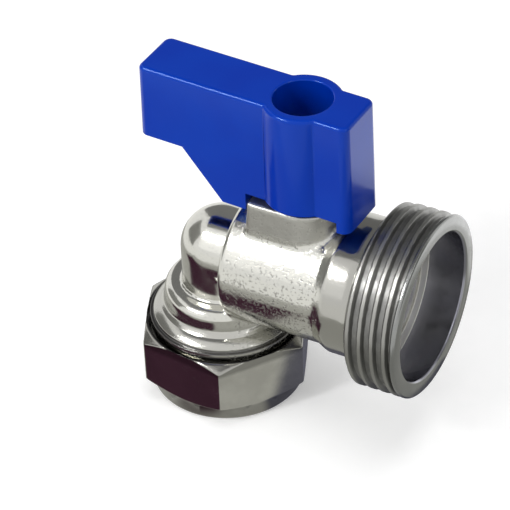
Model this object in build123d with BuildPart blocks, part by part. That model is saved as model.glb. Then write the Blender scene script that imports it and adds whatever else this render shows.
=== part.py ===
from build123d import *
import math
import os

os.makedirs("parts", exist_ok=True)

# Angled quarter-turn valve for a washing machine hose: 15 mm compression inlet
# below, 3/4 inch hose thread to the side, lever on top.
# Millimetres. Z runs up the inlet axis from the nut's lower face, X along the outlet.

# Main places
axis_height = 23.4
hub_x = 13.5
neck_height = 13.1
lever_turn = -2.8

# Clearances
running_gap = 0.05
seat_gap = 0.05
loose_gap = 0.2
ring_gap = 0.25

# Pipe socket and inlet thread
pipe_bore_radius = 7.6
pipe_stop_height = 12.6
inlet_thread_radius = 10.48
inlet_relief_radius = 9.6
inlet_relief_length = 0.8
spigot_end_height = 5.2

# Compression nut
nut_flats = 22.8
nut_height = 11.0
nut_top_radius = 11.7
nut_collar_radius = 11.25
nut_collar_height = 2.6
nut_chamfer_angle = 30
nut_hex_turn = -6.8
nut_seat_height = 1.6
nut_mouth_chamfer = 0.5

# Compression ring between nut and spigot
olive_radius = 8.75
olive_bevel = 1.0

# Elbow and inlet neck, each height counted from the form below it
waterway_radius = 4.4
elbow_radius = 5.95
flange_radius = 10.9
flange_thickness = 0.85
flare_radius = 10.4
flare_edge = 0.45
flare_rise = 1.7
shoulder_radius = 8.6
shoulder_height = 3.2
shoulder_round = 1.5

# Barrel and collar, each length counted from the form behind it
barrel_radius = 9.35
barrel_start = 3.75
barrel_round = 0.9
barrel_length = 14.85
collar_ramp = 1.6
collar_radius = 10.1
collar_length = 3.4
collar_round = 1.2
collar_bevel = 0.35
collar_groove_radius = 9.9
collar_groove_length = 0.65

# Outlet thread (G 3/4) and the recess for the hose washer
thread_length = 8.25
thread_crest_radius = 13.2
thread_root_radius = 12.1
thread_pitch = 1.814
thread_lead_in = 1.2
thread_crest_land = 0.35
rim_radius = 13.1
rim_width = 0.5
rim_bevel = 0.3
recess_radius = 10.65
recess_depth = 5.75
recess_lead = 0.3

# Ball, its seats and the ring that holds them
ball_radius = 6.75
ball_bore_radius = 4.25
ball_slot_width = 2.5
ball_slot_depth = 1.8
chamber_radius = 7.25
chamber_reach = 7.55
chamber_relief = 0.4
seat_width = 3.0
seat_bore_radius = 4.4
retainer_radius = 8.25
retainer_inset = 0.25
retainer_bore_radius = 4.6
retainer_countersink = 0.9
retainer_slot_width = 1.8
retainer_slot_depth = 1.6

# Neck boss on the barrel, with its two stop corners
neck_front_radius = 5.2
neck_back_radius = 6.6
neck_draft = 3
neck_blend = 0.6

# Stem, its washer and rings
stem_radius = 3.44
stem_flange_radius = 4.3
stem_flange_thickness = 1.1
stem_flats = 4.9
stem_tip_chamfer = 0.3
tang_length = 5.6
tang_gap = 0.1
washer_thickness = 0.7
counterbore_radius = 4.5
counterbore_height = 1.5
ring_groove_radius = 2.55
ring_groove_width = 1.2
ring_section_radius = 0.44
ring_names = ["stem_ring_upper", "stem_ring_lower"]
ring_first_depth = 1.25
ring_spacing = 1.65

# Lever moulding: lengths from the hub axis, heights from the neck's top
lever_width = 8.3
lever_draft = 0.8
lever_lift = 0.7
lever_height = 15.7
lever_arm_end = 23.7
lever_arm_depth = 11.2
lever_short_end = 8.8
lever_slope_start = 16.9
lever_foot_outer = 10.7
lever_foot_inner = 7.0
lever_foot_drop = 2.0
lever_lip_drop = 0.9
lever_lip_thickness = 1.6
lever_hub_radius = 5.65
lever_corner_round = 1.2
lever_hub_blend = 0.6
lever_top_round = 0.6
lever_wall = 1.1
lever_roof = 1.6
lever_recess_inner = 12.5
well_radius = 4.1
well_rim_round = 0.3
socket_depth = 4.8
socket_gap = 0.06
web_thickness = 1.4

# Screw that holds the lever on the stem
screw_radius = 1.5
screw_length = 6.2
screw_hole_radius = 1.75
screw_head_radius = 3.0
screw_head_height = 2.1
screw_head_round = 0.7
screw_cross_width = 0.9
screw_cross_length = 3.4
screw_cross_depth = 1.2

# Heights up the inlet
nut_bore_radius = inlet_thread_radius + running_gap
olive_start = nut_seat_height + olive_radius - olive_bevel + ring_gap - pipe_bore_radius
olive_end = spigot_end_height + olive_bevel - ring_gap
flange_bottom = nut_height + loose_gap
flange_top = flange_bottom + flange_thickness
flare_height = flange_top + flare_edge
shoulder_bottom = flare_height + flare_rise
shoulder_top = shoulder_bottom + shoulder_height

# Places along the outlet
barrel_end = barrel_start + barrel_length
collar_start = barrel_end + collar_ramp
collar_end = collar_start + collar_length
thread_start_x = collar_end + collar_bevel + collar_groove_length
outlet_face_x = thread_start_x + thread_length
rim_start_x = outlet_face_x - rim_width
crest_room = rim_start_x - thread_start_x - thread_lead_in - thread_pitch / 2
crest_count = int(crest_room / thread_pitch) + 1
chamber_back_x = hub_x - chamber_reach
retainer_start_x = hub_x + chamber_reach
recess_bottom_x = outlet_face_x - recess_depth
retainer_end_x = recess_bottom_x - retainer_inset

# Heights up the stem and lever
neck_top = axis_height + neck_height
counterbore_top = axis_height + chamber_radius + counterbore_height
flange_top_height = counterbore_top - washer_thickness - 2 * seat_gap
stem_flange_bottom = flange_top_height - stem_flange_thickness
tang_bottom = axis_height + ball_radius - ball_slot_depth + tang_gap
ring_heights = [neck_top - ring_first_depth - number * ring_spacing for number in range(len(ring_names))]
stem_head_bottom = neck_top + loose_gap
lever_underside = neck_top + lever_lift
lever_top = lever_underside + lever_height
lever_arm_height = lever_top - lever_arm_depth
lever_foot_height = neck_top - lever_foot_drop
lever_lip_height = neck_top - lever_lip_drop
stem_top = lever_underside + socket_depth
web_top = stem_top + web_thickness

outlet_axis = Axis((0, 0, axis_height), (1, 0, 0))
vertical_axis = Axis((0, 0, 0), (0, 0, 1))


def hub_plane(height):
    """Level plane on the hub axis, turned with the lever."""
    turn = math.radians(lever_turn)
    along = (math.cos(turn), math.sin(turn), 0)
    return Plane(origin=(hub_x, 0, height), x_dir=along, z_dir=(0, 0, 1))


def hub_side_plane():
    """Upright plane through the hub axis, along the lever."""
    turn = math.radians(lever_turn)
    along = (math.cos(turn), math.sin(turn), 0)
    across = (math.sin(turn), -math.cos(turn), 0)
    return Plane(origin=(hub_x, 0, 0), x_dir=along, z_dir=across)


def double_flat(radius, flats):
    """Round section with two flats that face across the lever."""
    with BuildSketch(mode=Mode.PRIVATE) as section:
        Circle(radius)
        Rectangle(2 * radius, flats, mode=Mode.INTERSECT)
    return section.sketch


# Valve body: outer form
with BuildPart() as valve_body:
    with BuildSketch(Plane.XZ):
        with BuildLine():
            Polyline(
                (0, flange_bottom),
                (flange_radius, flange_bottom),
                (flange_radius, flange_top),
                (flare_radius, flange_top),
                (flare_radius, flare_height),
                (shoulder_radius, shoulder_bottom),
                (shoulder_radius, shoulder_top - shoulder_round),
            )
            RadiusArc(
                (shoulder_radius, shoulder_top - shoulder_round),
                (shoulder_radius - shoulder_round, shoulder_top),
                -shoulder_round,
            )
            Polyline(
                (shoulder_radius - shoulder_round, shoulder_top),
                (elbow_radius, shoulder_top),
                (elbow_radius, axis_height),
                (0, axis_height),
                (0, flange_bottom),
            )
        make_face()
    revolve(axis=vertical_axis)
    with Locations((0, 0, axis_height)):
        Sphere(elbow_radius)
    with BuildSketch(Plane.YZ):
        with Locations((0, axis_height)):
            Circle(elbow_radius)
    extrude(amount=barrel_start + barrel_round)
    with BuildSketch(Plane.XZ) as outlet_profile:
        with BuildLine():
            outline = [
                (barrel_start, 0),
                (barrel_start, barrel_radius),
                (barrel_end, barrel_radius),
                (collar_start, collar_radius),
                (collar_end, collar_radius),
                (collar_end + collar_bevel, collar_groove_radius),
                (thread_start_x, collar_groove_radius),
                (thread_start_x, thread_root_radius),
            ]
            half_land = thread_crest_land / 2
            half_foot = thread_pitch / 2 - half_land
            for number in range(crest_count):
                crest = thread_start_x + thread_lead_in + number * thread_pitch
                outline += [
                    (crest - half_foot, thread_root_radius),
                    (crest - half_land, thread_crest_radius),
                    (crest + half_land, thread_crest_radius),
                    (crest + half_foot, thread_root_radius),
                ]
            outline += [
                (rim_start_x, rim_radius),
                (outlet_face_x - rim_bevel, rim_radius),
                (outlet_face_x, rim_radius - rim_bevel),
                (outlet_face_x, 0),
            ]
            points = [(x, axis_height - radius) for x, radius in outline]
            Polyline(*points, close=True)
        make_face()
        corner_rounds = [
            (barrel_start, barrel_radius, barrel_round),
            (collar_start, collar_radius, collar_round),
            (collar_end, collar_radius, collar_round),
        ]
        for x, radius, corner_round in corner_rounds:
            corner = outlet_profile.vertices().sort_by_distance((x, axis_height - radius, 0))[0]
            fillet(corner, corner_round)
    revolve(axis=outlet_axis)
    # Neck boss: a round stub with one stop corner for open and one for closed
    with BuildSketch(Plane.XY.offset(neck_top)):
        with BuildLine():
            Polyline(
                (hub_x, -neck_front_radius),
                (hub_x - neck_back_radius, -neck_front_radius),
                (hub_x - neck_back_radius, 0),
            )
            RadiusArc((hub_x - neck_back_radius, 0), (hub_x, neck_back_radius), neck_back_radius)
            Polyline(
                (hub_x, neck_back_radius),
                (hub_x + neck_front_radius, neck_back_radius),
                (hub_x + neck_front_radius, 0),
            )
            RadiusArc((hub_x + neck_front_radius, 0), (hub_x, -neck_front_radius), neck_front_radius)
        make_face()
    extrude(amount=axis_height - neck_top, taper=-neck_draft)
    # Soft blend where the neck runs into the barrel
    foot_lowest = axis_height + elbow_radius
    foot_highest = neck_top - lever_foot_drop
    foot_reach = neck_back_radius + neck_blend
    neck_foot = [
        edge
        for edge in valve_body.edges()
        if edge.geom_type in (GeomType.BSPLINE, GeomType.BEZIER)
        and foot_lowest < edge.center().Z < foot_highest
        and abs(edge.center().X - hub_x) < foot_reach
    ]
    fillet(neck_foot, neck_blend)

    # Inlet spigot with its thread at full diameter
    with BuildSketch(Plane.XY.offset(spigot_end_height)):
        Circle(inlet_thread_radius)
    extrude(amount=flange_bottom - spigot_end_height - inlet_relief_length)
    with BuildSketch(Plane.XY.offset(spigot_end_height)):
        Circle(inlet_relief_radius)
    extrude(amount=flange_bottom - spigot_end_height)

    # Waterway, pipe socket and cone for the compression ring
    with BuildSketch(Plane.XZ):
        with BuildLine():
            cone = olive_radius - pipe_bore_radius
            Polyline(
                (0, spigot_end_height),
                (olive_radius, spigot_end_height),
                (pipe_bore_radius, spigot_end_height + cone),
                (pipe_bore_radius, pipe_stop_height),
                (waterway_radius, pipe_stop_height),
                (waterway_radius, axis_height),
                (0, axis_height),
                close=True,
            )
        make_face()
    revolve(axis=vertical_axis, mode=Mode.SUBTRACT)
    with Locations((0, 0, axis_height)):
        Sphere(waterway_radius, mode=Mode.SUBTRACT)

    # Straight bore: waterway, ball chamber, retainer thread and washer recess
    with BuildSketch(Plane.XZ):
        with BuildLine():
            bore = [
                (0, 0),
                (0, waterway_radius),
                (chamber_back_x, waterway_radius),
                (chamber_back_x, chamber_radius),
                (retainer_start_x - chamber_relief, chamber_radius),
                (retainer_start_x - chamber_relief, retainer_radius),
                (recess_bottom_x, retainer_radius),
                (recess_bottom_x, recess_radius),
                (outlet_face_x - recess_lead, recess_radius),
                (outlet_face_x, recess_radius + recess_lead),
                (outlet_face_x, 0),
            ]
            points = [(x, axis_height + radius) for x, radius in bore]
            Polyline(*points, close=True)
        make_face()
    revolve(axis=outlet_axis, mode=Mode.SUBTRACT)

    # Stem bore, with the counterbore that traps the stem from inside
    with BuildSketch(Plane.XY.offset(axis_height)):
        with Locations((hub_x, 0)):
            Circle(counterbore_radius)
    extrude(amount=counterbore_top - axis_height, mode=Mode.SUBTRACT)
    with BuildSketch(Plane.XY.offset(axis_height)):
        with Locations((hub_x, 0)):
            Circle(stem_radius + running_gap)
    extrude(amount=neck_top - axis_height, mode=Mode.SUBTRACT)

valve_body.part.label = "valve_body"
export_step(valve_body.part, "parts/valve_body.step")

# Compression nut: hexagon between two cones, round collar below
nut_reach = nut_flats / 2 / math.cos(math.radians(30)) + loose_gap
chamfer_slope = math.tan(math.radians(nut_chamfer_angle))
with BuildPart() as compression_nut:
    with BuildSketch():
        RegularPolygon(nut_flats / 2, 6, major_radius=False, rotation=nut_hex_turn)
    extrude(amount=nut_height)
    with BuildSketch(Plane.XZ):
        with BuildLine():
            Polyline(
                (0, 0),
                (nut_collar_radius, 0),
                (nut_collar_radius, nut_collar_height),
                (nut_reach, nut_collar_height + (nut_reach - nut_collar_radius) * chamfer_slope),
                (nut_reach, nut_height - (nut_reach - nut_top_radius) * chamfer_slope),
                (nut_top_radius, nut_height),
                (0, nut_height),
                close=True,
            )
        make_face()
    revolve(axis=vertical_axis, mode=Mode.INTERSECT)
    with BuildSketch(Plane.XZ):
        with BuildLine():
            Polyline(
                (0, 0),
                (pipe_bore_radius, 0),
                (pipe_bore_radius, nut_seat_height),
                (nut_bore_radius, nut_seat_height + nut_bore_radius - pipe_bore_radius),
                (nut_bore_radius, nut_height - nut_mouth_chamfer),
                (nut_bore_radius + nut_mouth_chamfer, nut_height),
                (0, nut_height),
                close=True,
            )
        make_face()
    revolve(axis=vertical_axis, mode=Mode.SUBTRACT)

compression_nut.part.label = "compression_nut"
export_step(compression_nut.part, "parts/compression_nut.step")

# Olive: the brass ring that the nut squeezes onto the pipe
with BuildPart() as olive:
    with BuildSketch(Plane.XZ):
        with BuildLine():
            Polyline(
                (pipe_bore_radius, olive_start),
                (olive_radius - olive_bevel, olive_start),
                (olive_radius, olive_start + olive_bevel),
                (olive_radius, olive_end - olive_bevel),
                (olive_radius - olive_bevel, olive_end),
                (pipe_bore_radius, olive_end),
                close=True,
            )
        make_face()
    revolve(axis=vertical_axis)

olive.part.label = "olive"
export_step(olive.part, "parts/olive.step")

# Ball with its bore open along the outlet and the slot for the stem across it
with BuildPart() as valve_ball:
    with Locations(hub_plane(axis_height)):
        Sphere(ball_radius)
    with BuildSketch(hub_side_plane()):
        with BuildLine():
            Polyline(
                (-ball_radius, axis_height),
                (-ball_radius, axis_height + ball_bore_radius),
                (ball_radius, axis_height + ball_bore_radius),
                (ball_radius, axis_height),
                close=True,
            )
        make_face()
    bore_direction = hub_plane(axis_height).x_dir
    revolve(axis=Axis((hub_x, 0, axis_height), bore_direction), mode=Mode.SUBTRACT)
    with BuildSketch(hub_plane(axis_height + ball_radius - ball_slot_depth)):
        Rectangle(ball_slot_width, 2 * ball_radius)
    extrude(amount=ball_slot_depth, mode=Mode.SUBTRACT)

valve_ball.part.label = "valve_ball"
export_step(valve_ball.part, "parts/valve_ball.step")


def ball_seat(near_x, far_x):
    """Seat ring between two places on the outlet axis, hollowed to the ball."""
    with BuildPart() as ring:
        with BuildSketch(Plane.XZ):
            with BuildLine():
                Polyline(
                    (near_x, axis_height + seat_bore_radius),
                    (near_x, axis_height + chamber_radius - seat_gap),
                    (far_x, axis_height + chamber_radius - seat_gap),
                    (far_x, axis_height + seat_bore_radius),
                    close=True,
                )
            make_face()
            with Locations((hub_x, axis_height)):
                Circle(ball_radius + seat_gap, mode=Mode.SUBTRACT)
        revolve(axis=outlet_axis)
    return ring.part


inner_seat = ball_seat(chamber_back_x + seat_gap, chamber_back_x + seat_gap + seat_width)
inner_seat.label = "inner_seat"
export_step(inner_seat, "parts/inner_seat.step")

outer_seat = ball_seat(retainer_start_x - seat_gap - seat_width, retainer_start_x - seat_gap)
outer_seat.label = "outer_seat"
export_step(outer_seat, "parts/outer_seat.step")

# Retainer: threaded ring at the bottom of the recess, with two key slots
with BuildPart() as seat_retainer:
    with BuildSketch(Plane.XZ):
        with BuildLine():
            ring = [
                (retainer_start_x, retainer_bore_radius),
                (retainer_start_x, retainer_radius - running_gap),
                (retainer_end_x, retainer_radius - running_gap),
                (retainer_end_x, retainer_bore_radius + retainer_countersink),
                (retainer_end_x - retainer_countersink, retainer_bore_radius),
            ]
            points = [(x, axis_height + radius) for x, radius in ring]
            Polyline(*points, close=True)
        make_face()
    revolve(axis=outlet_axis)
    with BuildSketch(Plane.YZ.offset(retainer_end_x - retainer_slot_depth)):
        with Locations((0, axis_height)):
            Rectangle(retainer_slot_width, 2 * retainer_radius)
    extrude(amount=retainer_slot_depth, mode=Mode.SUBTRACT)

seat_retainer.part.label = "seat_retainer"
export_step(seat_retainer.part, "parts/seat_retainer.step")

# Stem: tang below, trapping flange, ring grooves, two flats for the lever
with BuildPart() as stem:
    with BuildSketch(hub_plane(stem_flange_bottom)):
        Circle(stem_flange_radius)
    extrude(amount=stem_flange_thickness)
    with BuildSketch(hub_plane(flange_top_height)):
        Circle(stem_radius)
    extrude(amount=stem_head_bottom - flange_top_height)
    with BuildSketch(hub_plane(stem_head_bottom)):
        add(double_flat(stem_radius, stem_flats))
    extrude(amount=stem_top - stem_head_bottom)
    chamfer(stem.edges().group_by(Axis.Z)[-1], stem_tip_chamfer)
    for height in ring_heights:
        with BuildSketch(hub_plane(height - ring_groove_width / 2)):
            Circle(stem_flange_radius)
            Circle(ring_groove_radius, mode=Mode.SUBTRACT)
        extrude(amount=ring_groove_width, mode=Mode.SUBTRACT)
    with BuildSketch(hub_plane(tang_bottom)):
        Rectangle(ball_slot_width - 2 * tang_gap, tang_length)
    extrude(amount=stem_flange_bottom - tang_bottom)
    with BuildSketch(hub_plane(stem_top)):
        Circle(screw_radius + running_gap)
    extrude(amount=-screw_length, mode=Mode.SUBTRACT)

stem.part.label = "stem"
export_step(stem.part, "parts/stem.step")

# Thrust washer between the stem flange and the neck
with BuildPart() as stem_washer:
    with BuildSketch(hub_plane(flange_top_height + seat_gap)):
        Circle(counterbore_radius - running_gap)
        Circle(stem_radius + running_gap, mode=Mode.SUBTRACT)
    extrude(amount=washer_thickness)

stem_washer.part.label = "stem_washer"
export_step(stem_washer.part, "parts/stem_washer.step")

# O-rings in the stem grooves
for ring_name, height in zip(ring_names, ring_heights):
    with BuildPart() as stem_ring:
        with Locations(hub_plane(height)):
            Torus(stem_radius - ring_section_radius + running_gap / 2, ring_section_radius)
    stem_ring.part.label = ring_name
    export_step(stem_ring.part, "parts/" + ring_name + ".step")

# Lever: hollow arm, foot and lip that meet the stops, hub over the stem
with BuildPart() as lever:
    with BuildSketch(hub_plane(lever_top)) as lever_plan:
        with Locations(((lever_short_end - lever_arm_end) / 2, 0)):
            Rectangle(lever_short_end + lever_arm_end, lever_width)
        fillet(lever_plan.vertices(), lever_corner_round)
        Circle(lever_hub_radius)
        waist = lever_plan.vertices().sort_by_distance((0, 0, 0))[:4]
        fillet(waist, lever_hub_blend)
    extrude(amount=lever_foot_height - lever_top, taper=-lever_draft)
    fillet(lever.faces().sort_by(Axis.Z)[-1].edges(), lever_top_round)
    # Underside: arm, slope, foot, hub face and lip
    with BuildSketch(hub_side_plane()):
        with BuildLine():
            reach = lever_arm_end + lever_short_end
            Polyline(
                (-reach, lever_arm_height),
                (-lever_slope_start, lever_arm_height),
                (-lever_foot_outer, lever_foot_height),
                (-lever_foot_outer, 0),
                (-reach, 0),
                close=True,
            )
        make_face()
        with BuildLine():
            Polyline(
                (-lever_foot_inner, 0),
                (-lever_foot_inner, lever_underside),
                (lever_short_end - lever_lip_thickness, lever_underside),
                (lever_short_end - lever_lip_thickness, lever_lip_height),
                (reach, lever_lip_height),
                (reach, 0),
                close=True,
            )
        make_face()
    extrude(amount=2 * lever_hub_radius, both=True, mode=Mode.SUBTRACT)
    # Hollow of the arm, open below
    with BuildSketch(hub_plane(lever_foot_height)):
        recess_length = lever_arm_end - lever_wall - lever_recess_inner
        with Locations((-lever_recess_inner - recess_length / 2, 0)):
            Rectangle(recess_length, lever_width - 2 * lever_wall)
    extrude(amount=lever_top - lever_roof - lever_foot_height, mode=Mode.SUBTRACT)
    # Screw well from above, screw hole and stem socket from below
    with BuildSketch(hub_plane(web_top)):
        Circle(well_radius)
    extrude(amount=lever_top - web_top, mode=Mode.SUBTRACT)
    fillet(lever.faces().sort_by(Axis.Z)[-1].inner_wires()[0].edges(), well_rim_round)
    with BuildSketch(hub_plane(stem_top)):
        Circle(screw_hole_radius)
    extrude(amount=web_thickness, mode=Mode.SUBTRACT)
    with BuildSketch(hub_plane(lever_underside)):
        add(double_flat(stem_radius + socket_gap, stem_flats + 2 * socket_gap))
    extrude(amount=socket_depth, mode=Mode.SUBTRACT)

lever.part.label = "lever"
export_step(lever.part, "parts/lever.step")

# Pan-head screw in the well, with a cross recess
with BuildPart() as lever_screw:
    with BuildSketch(hub_plane(web_top)):
        Circle(screw_head_radius)
    extrude(amount=screw_head_height)
    fillet(lever_screw.faces().sort_by(Axis.Z)[-1].edges(), screw_head_round)
    with BuildSketch(hub_plane(web_top)):
        Circle(screw_radius)
    extrude(amount=-screw_length)
    with BuildSketch(hub_plane(web_top + screw_head_height - screw_cross_depth)):
        Rectangle(screw_cross_length, screw_cross_width)
        Rectangle(screw_cross_width, screw_cross_length)
    extrude(amount=screw_cross_depth, mode=Mode.SUBTRACT)

lever_screw.part.label = "lever_screw"
export_step(lever_screw.part, "parts/lever_screw.step")
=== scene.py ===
"""Studio scene of an angled quarter-turn valve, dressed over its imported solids."""
import math

import bmesh
import bpy
import numpy as np
from bpy.props import FloatProperty, FloatVectorProperty, IntProperty, PointerProperty
from bpy.types import Operator, Panel, PropertyGroup
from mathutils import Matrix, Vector


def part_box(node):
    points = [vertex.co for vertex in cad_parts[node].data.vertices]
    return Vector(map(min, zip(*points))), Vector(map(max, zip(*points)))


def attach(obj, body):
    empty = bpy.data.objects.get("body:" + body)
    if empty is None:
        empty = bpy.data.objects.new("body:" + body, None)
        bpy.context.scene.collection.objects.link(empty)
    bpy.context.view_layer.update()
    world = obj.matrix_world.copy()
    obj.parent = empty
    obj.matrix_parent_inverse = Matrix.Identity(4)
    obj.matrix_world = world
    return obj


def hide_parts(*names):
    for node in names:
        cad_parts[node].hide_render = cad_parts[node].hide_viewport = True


bl_info = {
    "name": "Washing machine valve",
    "version": (1, 0, 0),
    "blender": (4, 5, 0),
    "location": "View3D > Sidebar > Valve",
    "description": "Builds the valve's visible pieces, their finishes and a small studio",
    "category": "Object",
}

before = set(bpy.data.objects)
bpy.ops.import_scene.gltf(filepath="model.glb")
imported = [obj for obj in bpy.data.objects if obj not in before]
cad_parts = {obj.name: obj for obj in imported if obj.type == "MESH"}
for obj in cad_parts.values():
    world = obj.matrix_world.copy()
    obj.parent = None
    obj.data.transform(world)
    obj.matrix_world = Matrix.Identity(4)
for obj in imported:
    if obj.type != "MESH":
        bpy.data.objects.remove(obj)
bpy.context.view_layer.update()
ball_low, ball_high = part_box("valve_ball")
body_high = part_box("valve_body")[1]
nut_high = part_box("compression_nut")[1]
finishes = {}

MM = 0.001
AXIS_HEIGHT = (ball_low.z + ball_high.z) / 2
HUB_X = (ball_low.x + ball_high.x) / 2
MOST_TRIANGLES = 199000
FEWEST_CAST_TRIANGLES = 20000
BACK_BEVEL_SLOPE = 1.75


# Property groups

def length(name, description, millimetres):
    """A length property that is written in millimetres and kept in metres."""
    return FloatProperty(
        name=name, description=description, default=millimetres * MM,
        unit="LENGTH", precision=5, min=0,
    )


def count(name, description, value, least=1):
    """A whole-number property."""
    return IntProperty(name=name, description=description, default=value, min=least)


def slant(name, description, degrees):
    """An angle property that is written in degrees and kept in radians."""
    return FloatProperty(
        name=name, description=description, default=math.radians(degrees), subtype="ANGLE",
    )


def colour(name, description, value):
    """A colour property."""
    return FloatVectorProperty(
        name=name, description=description, default=value, subtype="COLOR", size=3, min=0, max=1,
    )


class CastBodySizes(PropertyGroup):
    fine_steps: count("Fine steps", "Cuts along each edge of the solid's triangles", 4)
    voxel: length("Voxel", "Edge of the grid that rounds the casting's edges", 0.262)
    smooth_steps: count("Smoothing", "Rounds of smoothing on the casting", 5, 0)
    skin_size: length("Skin size", "Width of the swells in the cast skin", 0.9)
    skin_depth: length("Skin depth", "Height of the swells in the cast skin", 0.012)
    cut_x: length("Cut", "Where the casting ends inside the threaded outlet", 24.5)
    inlet_cut: length("Inlet cut", "Height at which the turned inlet takes over", 13.6)
    inlet_reach: length("Inlet reach", "How far the inlet's cut goes towards the outlet", 15.0)


class InletSizes(PropertyGroup):
    flange_radius: length("Flange radius", "Radius of the flange over the nut", 10.9)
    flange_bottom: length("Flange bottom", "Height of the flange's lower face", 11.2)
    flange_top: length("Flange top", "Height of the flange's upper face", 12.05)
    step_radius: length("Step radius", "Radius of the step on the flange", 10.4)
    step_top: length("Step top", "Height of the step's upper edge", 12.5)
    cone_radius: length("Cone radius", "Radius where the cone meets the shoulder", 8.6)
    cone_top: length("Cone top", "Height where the cone meets the shoulder", 14.2)
    spigot_radius: length("Spigot radius", "Radius of the spigot inside the nut", 10.48)
    spigot_end: length("Spigot end", "Height of the spigot's lower end", 5.2)
    relief_radius: length("Relief radius", "Radius of the groove under the flange", 9.6)
    relief_height: length("Relief height", "Height of the groove under the flange", 0.8)
    olive_radius: length("Olive mouth", "Radius of the cone that the olive presses on", 8.75)
    pipe_radius: length("Pipe socket", "Radius of the pipe socket", 7.6)
    pipe_stop: length("Pipe stop", "Height of the pipe socket's end", 12.6)
    waterway_radius: length("Waterway", "Radius of the waterway", 4.4)
    edge_round: length("Edge round", "Softness of the turned edges", 0.14)
    columns: count("Columns", "Steps round the inlet", 256, 32)


class OutletSizes(PropertyGroup):
    start: length("Start", "Back face of the threaded outlet", 24.6)
    crest_radius: length("Crest radius", "Radius over the thread's crests", body_high.y / MM)
    root_radius: length("Root radius", "Radius at the bottom of the worn thread", 12.45)
    pitch: length("Pitch", "Travel of one turn of the thread", 1.814)
    first_crest: length("First crest", "First crest, on the side away from the lever", 25.8)
    crest_land: length("Crest land", "Width of the flat on each crest", 0.30)
    root_land: length("Root land", "Width of the flat in each root", 0.62)
    lead_start: length("Lead start", "Where the back bevel comes up to the root radius", 25.15)
    rim_width: length("Rim width", "Width of the rim's round band", 0.55)
    rim_radius: length("Rim radius", "Outer radius of the rim", 13.1)
    rim_round: length("Rim round", "Bevel between the rim and the face", 0.34)
    recess_radius: length("Recess radius", "Radius of the washer recess", 10.65)
    recess_depth: length("Recess depth", "Depth of the washer recess", 5.75)
    recess_lead: length("Recess lead", "Bevel at the mouth of the recess", 0.3)
    neck_radius: length("Neck radius", "Radius of the sleeve's end inside the casting", 9.8)
    neck_tuck: length("Neck tuck", "How far the sleeve reaches into the casting", 0.5)
    seat_bore_radius: length("Inner radius", "Radius of the retainer's bore", 8.28)
    rows: count("Rows", "Steps along the thread", 170, 20)
    columns: count("Columns", "Steps round the outlet", 256, 32)


class NutSizes(PropertyGroup):
    flats: length("Flats", "Width across the flats", 22.8)
    corner_wear: length("Corner wear", "What is rubbed off each corner", 0.03)
    top_radius: length("Top radius", "Where the upper chamfer starts", 11.7)
    collar_radius: length("Collar radius", "Radius of the round collar below", 11.37)
    collar_height: length("Collar height", "Height of the round collar", 2.6)
    foot_bevel: length("Foot bevel", "How far the collar draws in at its foot", 0.35)
    foot_round: length("Foot round", "Softness of the collar's foot", 0.7)
    bore_radius: length("Bore", "Radius of the nut's bore", 10.53)
    pipe_radius: length("Pipe hole", "Radius of the hole for the pipe", 7.6)
    pipe_round: length("Pipe round", "Softness of the pipe hole's lower edge", 0.25)
    seat_height: length("Seat height", "Height of the cone that presses the olive", 1.6)
    mouth_chamfer: length("Mouth chamfer", "Bevel at the mouth", 0.85)
    mouth_round: length("Mouth round", "Softness of the edges inside", 0.1)
    edge_round: length("Edge round", "Softness of the worn edges", 0.22)
    chamfer: slant("Chamfer", "Slope of the upper and lower cones", 30)
    hex_turn: slant("Turn", "Turn of the hexagon about the pipe", -6.8)
    columns: count("Columns", "Steps round the nut", 432, 48)
    rows: count("Rows", "Steps up the nut", 64, 16)


class LeverSizes(PropertyGroup):
    fine_steps: count("Fine steps", "Cuts along each edge of the solid's triangles", 3)
    hard_edge: slant("Hard edge", "Angle above which an edge stays hard", 32)


class ValveColours(PropertyGroup):
    plate: colour("Plate", "Bright plating", (0.66, 0.655, 0.61))
    # Dark plate: pits, patches, streaks and darker parts of the casting and nut, among them painted
    # shade on the nut's lower collar.
    plate_dark: colour("Dark plate", "Darker plate, and painted shade on the nut's lower collar", (0.36, 0.355, 0.33))
    rim: colour("Rim", "Plate on the rim", (0.29, 0.295, 0.29))
    thread: colour("Thread", "Worn plate on the crests", (0.25, 0.25, 0.24))
    # The recess colour is painted shade on the recess wall.
    recess: colour("Recess wall", "Painted shade on the recess wall", (0.27, 0.27, 0.31))
    # Painted shade for the thread roots, the flange's step and the nut's mouth and bore.
    grime: colour("Grime", "Painted shade in roots, gaps and the flange step", (0.08, 0.078, 0.08))
    lever: colour("Lever", "Moulded plastic", (0.0, 0.029, 0.36))
    lever_worn: colour("Worn lever", "Plastic where it is rubbed", (0.0, 0.05, 0.45))
    brass: colour("Brass", "Turned brass", (0.72, 0.53, 0.26))
    brass_dark: colour("Dull brass", "Brass in patches", (0.35, 0.24, 0.11))
    zinc: colour("Zinc", "Plated screw", (0.62, 0.62, 0.60))
    zinc_dark: colour("Dull zinc", "Screw in patches", (0.3, 0.3, 0.29))
    seat: colour("Seat", "Sealing plastic", (0.83, 0.83, 0.80))
    rubber: colour("Rubber", "Sealing rings", (0.02, 0.02, 0.02))
    floor: colour("Floor", "Floor of the studio", (0.82, 0.82, 0.82))
    floor_light: colour("Pale floor", "Paler fibres of the floor", (0.85, 0.85, 0.85))


# Node helpers

def put(tree, kind, inputs=None, **settings):
    """Adds a node, sets its own attributes and feeds its inputs."""
    node = tree.nodes.new(kind)
    for name, value in settings.items():
        setattr(node, name, value)
    for name, value in (inputs or {}).items():
        feed(node.inputs[name], value)
    return node


def feed(socket, value):
    """Joins a socket to a field or an output, or sets it to a plain value."""
    if isinstance(value, Field):
        value = value.output
    if isinstance(value, bpy.types.NodeSocket):
        socket.id_data.links.new(value, socket)
    else:
        socket.default_value = value


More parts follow.
